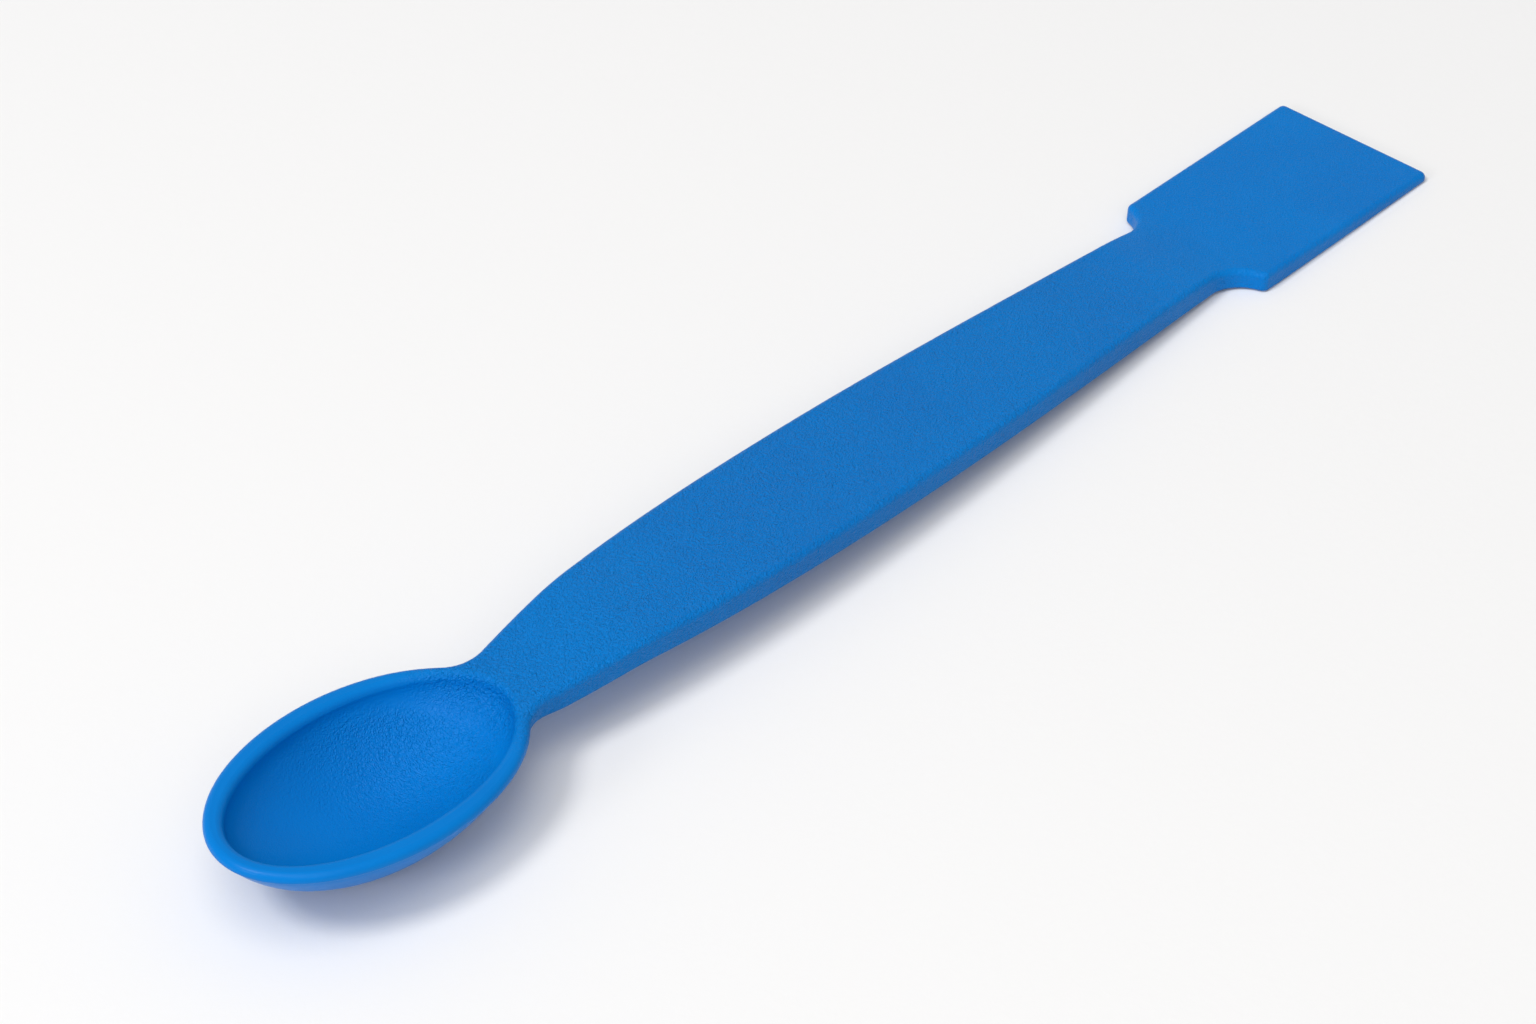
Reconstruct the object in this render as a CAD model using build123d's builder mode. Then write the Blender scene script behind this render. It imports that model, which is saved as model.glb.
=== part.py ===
"""Double-ended spoon and spatula, moulded in one piece.

An oval spoon bowl and a square-ended blade share one wide flat handle.  The model lies as it
would on a table: +X points along the handle to the blade, +Z is up, and the origin is under the
middle of the tool, on the table.  Every sketch is drawn on planes tied to the handle's flat top
face, which slopes a few degrees down towards the blade when the bowl and the blade rest on the
table.  Along the tool, u is measured on that face from the middle; v is measured across it, and
w is measured square to it, so the face itself is at w = 0.
"""
import os
from math import asin, atan, cos, hypot, radians, sin, tan

from build123d import *

# ---- driving dimensions, millimetres and degrees ----
overall_length = 180.0        # bowl nose to blade edge, along the handle

bowl_length = 37.1            # outside, along the handle
bowl_width = 23.8             # outside, across
bowl_depth = 9.3              # top of the rim to the lowest point of the underside
bowl_wall_height = 1.15       # straight outer wall below the rim
dome_inset = 0.45             # from that wall in to the rounded underside
bowl_wall_curve = 0.6         # how long the underside stays steep below that
bowl_bottom_curve = 0.71      # how flat the underside is, as a share of the half length
rim_width = 2.2               # width of the lip along the hollow's sides
rim_width_nose = 1.8         # round its nose
rim_width_neck = 1.1          # and where it ends at the neck
rim_drop = 1.85               # rim below the handle's flat top
floor_thickness = 1.7         # thickness of the bowl's floor
hollow_wall_height = 1.0      # straight inner wall below the rim
hollow_wall_slope = 14.0      # how far that wall leans outwards
hollow_wall_curve = 2.4       # how long it stays steep below that
hollow_bottom_curve = 0.5     # how flat the hollow's floor is, as a share of the half length

handle_thickness = 3.0
handle_width = 17.2           # at its widest
handle_widest_u = -4.0        # where it is widest
neck_width = 8.1              # handle's width where its sides run into the bowl
neck_overlap = 3.3            # how far that place lies inside the bowl's oval
neck_flare = 0.23             # how fast each side opens out there
neck_radius = 5.0             # hollow corner between bowl and handle, in plan
neck_ramp = 16.0              # length over which the top rises from the rim to the handle
neck_thickness = 2.85         # where the neck leaves the bowl
neck_swell = 6.5              # length over which it thins down to the bowl's wall
ramp_radius = 45.0            # large rounds where the top and underside change slope
swell_radius = 15.0

blade_length = 31.1           # shoulder's outer corner to the edge
blade_root_width = 20.7
blade_tip_width = 21.8
blade_tip_thickness = 1.15
blade_root_drop = 0.63        # blade's top below the handle's top, at the shoulder
blade_tip_drop = 0.06         # and at the edge
blade_ramp = 8.0              # length over which the handle's top falls to the blade's
root_width = 12.6             # handle's width where it meets the blade
root_taper = -0.045           # how fast each side closes in there
shoulder_angle = 70.0         # slope of the shoulder to the handle's axis
shoulder_radius = 5.0         # hollow corner between handle and shoulder, in plan
shoulder_corner = 0.9         # outer corner of the shoulder, in plan
tip_corner = 0.8              # corners of the blade's edge, in plan

edge_radius = 0.7             # round-over of all the top edges
underside_radius = 0.35       # round-over of the underside's edges
rim_radius = 0.8              # round-over of the lip's inner edge
overlap = 10.0                # how far cutting and joining shapes run past each other

# ---- places and sizes worked out from them ----
nose_u = -overall_length / 2
tip_u = overall_length / 2
bowl_u = nose_u + bowl_length / 2
bowl_end_u = nose_u + bowl_length
neck_u = bowl_end_u - neck_overlap
shoulder_u = tip_u - blade_length
root_u = shoulder_u - (blade_root_width - root_width) / 2 / tan(radians(shoulder_angle))
shoulder_step = (blade_root_width - root_width) / 2 / sin(radians(shoulder_angle))
root_turn = tan((radians(shoulder_angle) - atan(root_taper)) / 2)
root_radius = min(shoulder_radius, 0.95 * (shoulder_step / root_turn - shoulder_corner))
bowl_wall_w = -rim_drop - bowl_wall_height
dome_depth = bowl_depth - bowl_wall_height
dome_length = bowl_length - 2 * dome_inset
dome_width = bowl_width - 2 * dome_inset
hollow_length = bowl_length - rim_width_nose - rim_width_neck
hollow_u = nose_u + rim_width_nose + hollow_length / 2
hollow_width = bowl_width - 2 * rim_width
hollow_depth = bowl_depth - floor_thickness

# ---- resting slope ----
# On a table the tool rests on the underside of the blade's edge and on the bowl's rounded
# underside, so the table is the line through the first that just touches the second.
edge_w = -blade_tip_drop - blade_tip_thickness
bottom_radius = 1.5 * (bowl_bottom_curve * dome_length / 2) ** 2 / (dome_depth - bowl_wall_curve)
reach = tip_u - bowl_u
rise = edge_w - (bowl_wall_w - dome_depth + bottom_radius)
tilt = atan(rise / reach) + asin(bottom_radius / hypot(reach, rise))

# ---- the handle's top face as a plane, with the tool centred over the origin ----
nose_x = nose_u * cos(tilt) + bowl_wall_w * sin(tilt)
tip_x = tip_u * cos(tilt) - (blade_tip_drop + edge_radius) * sin(tilt)
along = Vector(cos(tilt), 0, -sin(tilt))
square = Vector(sin(tilt), 0, cos(tilt))
middle = Vector(-(nose_x + tip_x) / 2, 0, tip_u * sin(tilt) - edge_w * cos(tilt))
top_face = Plane(origin=middle, x_dir=along, z_dir=square)
side_face = Plane(origin=middle, x_dir=along, z_dir=(0, -1, 0))


def plane_at(u, w):
    """The handle's top plane, moved along the tool to u and square to it to w."""
    return Plane(origin=middle + along * u + square * w, x_dir=along, z_dir=square)


def height(shape):
    """Height of a shape's middle above the handle's top face."""
    return top_face.to_local_coords(shape.center()).Z


def faces_up(face):
    return face.normal_at().dot(square) > 0.5


def faces_down(face):
    return face.normal_at().dot(square) < -0.5


def on_top(edge):
    """Whether the whole edge is at the rim's height or above it."""
    return all(height(vertex) > -rim_drop - 0.1 for vertex in edge.vertices())


def outline_of(faces):
    """The edges that only one of the faces has: the outline of them all."""
    edges = faces.edges()
    return ShapeList(edge for edge in edges if sum(edge.is_same(other) for other in edges) == 1)


# ---- plan of the whole tool ----
with BuildSketch(top_face) as plan:
    with BuildLine() as half:
        neck = Vector(neck_u, neck_width / 2)
        widest = Vector(handle_widest_u, handle_width / 2)
        root = Vector(root_u, root_width / 2)
        opening = (widest.X - neck.X) / 3
        closing = (root.X - widest.X) / 3
        Bezier(
            neck,
            neck + Vector(1, neck_flare) * opening,
            widest - Vector(opening, 0),
            widest,
        )
        Bezier(
            widest,
            widest + Vector(closing, 0),
            root - Vector(1, root_taper) * closing,
            root,
        )
        Polyline(
            root,
            (shoulder_u, blade_root_width / 2),
            (tip_u, blade_tip_width / 2),
            (tip_u, 0),
            (neck_u, 0),
            neck,
        )
    make_face()
    mirror(about=Plane.XZ)
    with Locations((bowl_u, 0)):
        Ellipse(bowl_length / 2, bowl_width / 2)
    # the pairs of corners are neck, root, shoulder and tip, and are rounded from the tip back
    fillet(plan.vertices().group_by(Axis.X)[3], tip_corner)
    fillet(plan.vertices().group_by(Axis.X)[2], shoulder_corner)
    fillet(plan.vertices().group_by(Axis.X)[1], root_radius)
    fillet(plan.vertices().group_by(Axis.X)[0], neck_radius)

# ---- side view of the whole tool, without the bowl's rounded underside ----
with BuildSketch(side_face) as side:
    with BuildLine() as bent_plate:
        ramp_foot = neck_u
        ramp_head = ramp_foot + neck_ramp
        swell_u = bowl_end_u + neck_overlap / 2
        swell_w = -neck_thickness - rim_drop * (ramp_head - swell_u) / neck_ramp
        taper_u = tip_u - (edge_w + handle_thickness) / tan(tilt)
        top = FilletPolyline(
            (nose_u - overlap, -rim_drop),
            (ramp_foot, -rim_drop),
            (ramp_head, 0),
            (shoulder_u - blade_ramp, 0),
            (shoulder_u, -blade_root_drop),
            (tip_u, -blade_tip_drop),
            radius=ramp_radius,
        )
        lower = FilletPolyline(
            (nose_u - overlap, bowl_wall_w),
            (swell_u - neck_swell, bowl_wall_w),
            (swell_u, swell_w),
            (ramp_head, -handle_thickness),
            (taper_u, -handle_thickness),
            (tip_u, edge_w),
            radius=[swell_radius, swell_radius, ramp_radius, ramp_radius],
        )
        Line(top @ 0, lower @ 0)
        Line(top @ 1, lower @ 1)
    make_face()


# ---- rounded shapes of the bowl ----
def oval_dish(length, width, above, below, slope, depth, wall_curve, bottom_curve):
    """A solid oval dish with its rim at height 0.

    A straight wall that leans outwards by the slope runs from above the rim to below it, and a
    curve runs on from there to the bottom's middle.
    """
    lean = tan(radians(slope))
    mouth = Vector(length / 2 + above * lean, above)
    foot = Vector(length / 2 - below * lean, -below)
    with BuildPart() as dish:
        with BuildSketch(Plane.XZ):
            with BuildLine():
                Bezier(
                    foot,
                    foot - Vector(lean, 1) * wall_curve,
                    (foot.X * bottom_curve, -depth),
                    (0, -depth),
                )
                Polyline((0, -depth), (0, above), mouth, foot)
            make_face()
        revolve(axis=Axis.Z)
        scale(by=(1, width / length, 1))
    return dish.part


dome = oval_dish(
    dome_length,
    dome_width,
    above=bowl_wall_height / 2,
    below=0,
    slope=0,
    depth=dome_depth,
    wall_curve=bowl_wall_curve,
    bottom_curve=bowl_bottom_curve,
)
hollow = oval_dish(
    hollow_length,
    hollow_width,
    above=overlap,
    below=hollow_wall_height,
    slope=hollow_wall_slope,
    depth=hollow_depth,
    wall_curve=hollow_wall_curve,
    bottom_curve=hollow_bottom_curve,
)

# ---- the tool ----
with BuildPart() as spoon_spatula:
    # flat plate of the tool's plan, bent to its side view, with its edges rounded over
    with BuildSketch(plane_at(0, -overlap)):
        add(plan.sketch_local)
    extrude(amount=2 * overlap)
    with BuildSketch(side_face):
        add(side.sketch_local)
    extrude(amount=bowl_width, both=True, mode=Mode.INTERSECT)
    top_edges = outline_of(spoon_spatula.faces().filter_by(faces_up))
    lower_edges = outline_of(spoon_spatula.faces().filter_by(faces_down))
    fillet(top_edges, edge_radius)
    fillet(lower_edges, underside_radius)

    # the bowl's rounded underside
    with Locations(plane_at(bowl_u, bowl_wall_w)):
        add(dome)

    # the hollow, and the round-over of its rim
    with Locations(plane_at(hollow_u, -rim_drop)):
        add(hollow, mode=Mode.SUBTRACT)
    rim_edges = spoon_spatula.edges(Select.LAST).filter_by(on_top)
    fillet(rim_edges, rim_radius)

os.makedirs("parts", exist_ok=True)
spoon_spatula.part.label = "spoon_spatula"
export_step(spoon_spatula.part, "parts/spoon_spatula.step")
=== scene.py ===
"""Looks of the double-ended spoon and spatula: satin blue moulded plastic on a pale floor."""

from math import cos, radians, sin

import bpy
from mathutils import Matrix, Vector


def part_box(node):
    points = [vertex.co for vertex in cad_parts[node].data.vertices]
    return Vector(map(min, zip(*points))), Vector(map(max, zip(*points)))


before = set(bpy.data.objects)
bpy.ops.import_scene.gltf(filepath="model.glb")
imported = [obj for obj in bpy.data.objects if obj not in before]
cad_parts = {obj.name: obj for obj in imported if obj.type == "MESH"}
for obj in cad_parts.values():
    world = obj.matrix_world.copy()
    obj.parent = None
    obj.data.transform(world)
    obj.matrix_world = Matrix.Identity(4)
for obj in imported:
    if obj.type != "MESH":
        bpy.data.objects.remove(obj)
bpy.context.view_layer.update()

MM = 0.001
TOOL = "spoon_spatula"

# the bowl's oval, seen from above, for the places where the grain starts and ends
BOWL_LENGTH = 37.1 * MM
BOWL_WIDTH = 23.8 * MM

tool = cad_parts[TOOL]
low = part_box(TOOL)[0]
bowl_x = low.x + BOWL_LENGTH / 2


# ---- node helpers ----
def new_material(name):
    """A material with an empty node tree, and that tree."""
    material = bpy.data.materials.new(name)
    material.use_nodes = True
    material.node_tree.nodes.clear()
    return material, material.node_tree


def add_node(tree, kind, inputs=None, **settings):
    """A node with its settings made; an input that is a socket is linked, any other is a value."""
    node = tree.nodes.new(kind)
    for key, value in settings.items():
        setattr(node, key, value)
    for key, value in (inputs or {}).items():
        if isinstance(value, bpy.types.NodeSocket):
            tree.links.new(value, node.inputs[key])
        else:
            node.inputs[key].default_value = value
    return node


def maths(tree, operation, first, second=0.0):
    """One sum with two terms, each a socket or a number."""
    node = add_node(tree, "ShaderNodeMath", {0: first, 1: second}, operation=operation)
    return node.outputs[0]


def noise(tree, place, scale, detail, roughness=0.5, distortion=0.0):
    """Noise in the object's own space; the scale is in cells to the metre."""
    node = add_node(
        tree,
        "ShaderNodeTexNoise",
        {
            "Vector": place,
            "Scale": scale,
            "Detail": detail,
            "Roughness": roughness,
            "Distortion": distortion,
        },
    )
    return node.outputs["Fac"]


def ramp(tree, value, start, end, low_value=0.0, high_value=1.0):
    """A smooth step from one value to another."""
    node = add_node(
        tree,
        "ShaderNodeMapRange",
        {
            "Value": value,
            "From Min": start,
            "From Max": end,
            "To Min": low_value,
            "To Max": high_value,
        },
        interpolation_type="SMOOTHSTEP",
    )
    return node.outputs["Result"]


# ---- moulded plastic ----
PEBBLE_SCALE = 3300.0           # cells to the metre
FINE_SCALE = 8000.0
FINE_SHARE = 0.25               # how much the finer grain adds to the pebbles
GRAIN_DEPTH = 0.33 * MM
BLADE_FADE = (35.0 * MM, 62.0 * MM)     # along X, where the grain weakens towards the blade
BLADE_GRAIN = 0.5               # and what is left of it there
CLOUD_SCALE = 60.0
CLOUD_RANGE = (0.3, 0.7)
BLUES = ((0.0, 0.175, 0.576, 1.0), (0.0, 0.191, 0.610, 1.0))
ROUGHNESSES = (0.28, 0.34)
# sockets of a Mix node set to colours
MIX_FIRST, MIX_SECOND, MIX_RESULT = 6, 7, 2


def grain_share(tree, place):
    """How strong the grain is from place to place.

    It covers the handle and weakens over the blade.  In the bowl it is strong towards the neck
    and faint towards the nose, and the rim and the outside are smooth.
    """
    parts = add_node(tree, "ShaderNodeSeparateXYZ", {0: place}).outputs
    along, across = parts["X"], parts["Y"]
    # -1 at the bowl's nose, 0 at its middle and 1 at its other end
    reach = maths(tree, "DIVIDE", maths(tree, "SUBTRACT", along, bowl_x), BOWL_LENGTH / 2)
    aside = maths(tree, "DIVIDE", across, BOWL_WIDTH / 2)
    # 0 at the bowl's middle and 1 all round its outline
    squares = [maths(tree, "MULTIPLY", side, side) for side in (reach, aside)]
    radius = maths(tree, "SQRT", maths(tree, "ADD", *squares))
    in_hollow = ramp(tree, radius, 0.72, 0.86, 1.0, 0.0)
    to_neck = ramp(tree, reach, -0.5, 0.6, 0.1, 0.75)
    on_handle = ramp(tree, reach, 0.5, 0.95)
    on_blade = ramp(tree, along, *BLADE_FADE, 1.0, BLADE_GRAIN)
    share = maths(tree, "MAXIMUM", maths(tree, "MULTIPLY", in_hollow, to_neck), on_handle)
    return maths(tree, "MULTIPLY", share, on_blade)


def plastic():
    """Satin blue plastic with a fine leather grain and a slow variation of colour and gloss."""
    material, tree = new_material("moulded_plastic")
    place = add_node(tree, "ShaderNodeTexCoord").outputs["Object"]

    # small pebbles between fine creases
    pebbles = noise(tree, place, PEBBLE_SCALE, detail=1.5, distortion=0.8)
    fine = noise(tree, place, FINE_SCALE, detail=1.0)
    grain = maths(tree, "ADD", pebbles, maths(tree, "MULTIPLY", fine, FINE_SHARE))
    bump = add_node(
        tree,
        "ShaderNodeBump",
        {
            "Height": maths(tree, "MULTIPLY", grain, grain_share(tree, place)),
            "Strength": 1.0,
            "Distance": GRAIN_DEPTH,
        },
    )

    cloud = noise(tree, place, CLOUD_SCALE, detail=3.0, roughness=0.55)
    tint = add_node(
        tree,
        "ShaderNodeMix",
        {"Factor": ramp(tree, cloud, *CLOUD_RANGE), MIX_FIRST: BLUES[0], MIX_SECOND: BLUES[1]},
        data_type="RGBA",
    )
    shader = add_node(
        tree,
        "ShaderNodeBsdfPrincipled",
        {
            "Base Color": tint.outputs[MIX_RESULT],
            "Roughness": ramp(tree, cloud, *CLOUD_RANGE, *ROUGHNESSES),
            "Normal": bump.outputs["Normal"],
            "IOR": 1.46,
            "Specular IOR Level": 0.11,
        },
    )
    add_node(tree, "ShaderNodeOutputMaterial", {"Surface": shader.outputs[0]})
    return material


# ---- the tool ----
tool.data.materials.clear()
tool.data.materials.append(plastic())

# ---- floor ----
FLOOR_SIZE = 6.0
FLOOR_COLOUR = (0.87, 0.87, 0.872, 1.0)
TOOTH_DEPTH = 0.2 * MM


def paper():
    """Pale matte paper with a very fine tooth."""
    material, tree = new_material("pale_floor")
    place = add_node(tree, "ShaderNodeTexCoord").outputs["Object"]
    tooth = noise(tree, place, 900.0, detail=2.0, roughness=0.6)
    bump = add_node(
        tree,
        "ShaderNodeBump",
        {"Height": tooth, "Strength": 0.08, "Distance": TOOTH_DEPTH},
    )
    shader = add_node(
        tree,
        "ShaderNodeBsdfPrincipled",
        {
            "Base Color": FLOOR_COLOUR,
            "Roughness": 0.9,
            "Specular IOR Level": 0.1,
            "Normal": bump.outputs["Normal"],
        },
    )
    add_node(tree, "ShaderNodeOutputMaterial", {"Surface": shader.outputs[0]})
    return material


bpy.ops.mesh.primitive_plane_add(size=FLOOR_SIZE, location=(0, 0, low.z))
floor = bpy.context.object
floor.name = "floor"
floor.data.materials.append(paper())


# ---- lights: round soft boxes aimed at the tool, and an even surround ----
def area_light(name, place, size, energy):
    light = bpy.data.lights.new(name, "AREA")
    light.shape = "DISK"
    light.size = size
    light.energy = energy
    holder = bpy.data.objects.new(name, light)
    bpy.context.scene.collection.objects.link(holder)
    holder.location = place
    holder.rotation_euler = (-Vector(place)).to_track_quat("-Z", "Y").to_euler()


area_light("key", (-1.08, 0.30, 1.62), size=0.55, energy=13.2)
area_light("side", (-1.60, 0.10, 0.70), size=0.45, energy=4.5)
area_light("overhead", (-0.50, -0.15, 1.55), size=1.3, energy=9.0)
area_light("fill", (-0.90, -1.20, 1.30), size=1.0, energy=5.0)

world = bpy.data.worlds.new("studio")
bpy.context.scene.world = world
world.use_nodes = True
surround = world.node_tree.nodes["Background"]
surround.inputs["Color"].default_value = (1.0, 0.985, 0.97, 1.0)
surround.inputs["Strength"].default_value = 0.39

# ---- camera ----
CAMERA_AZIMUTH = -47.08         # degrees
CAMERA_ELEVATION = 40.17
CAMERA_ROLL = -0.14
CAMERA_DISTANCE = 424.0 * MM
CAMERA_TARGET = Vector((-13.07, 1.20, 5.0)) * MM
SENSOR = 36.0
FOCAL_SHARE = 4000.0 / 1536.0   # focal length as a share of the picture's width

azimuth, elevation, roll = map(radians, (CAMERA_AZIMUTH, CAMERA_ELEVATION, CAMERA_ROLL))
back = Vector((sin(azimuth) * cos(elevation), -cos(azimuth) * cos(elevation), sin(elevation)))
right = Vector((0, 0, 1)).cross(back).normalized()
up = back.cross(right)
rolled_right = right * cos(roll) + up * sin(roll)
rolled_up = up * cos(roll) - right * sin(roll)
turn = Matrix((rolled_right, rolled_up, back)).transposed().to_4x4()

camera_data = bpy.data.cameras.new("camera")
camera_data.sensor_width = SENSOR
camera_data.lens = SENSOR * FOCAL_SHARE
camera_data.clip_start = 0.01
camera_data.clip_end = 20.0
camera = bpy.data.objects.new("camera", camera_data)
bpy.context.scene.collection.objects.link(camera)
camera.matrix_world = Matrix.Translation(CAMERA_TARGET + back * CAMERA_DISTANCE) @ turn
bpy.context.scene.camera = camera
bpy.context.scene.view_settings.view_transform = "Standard"
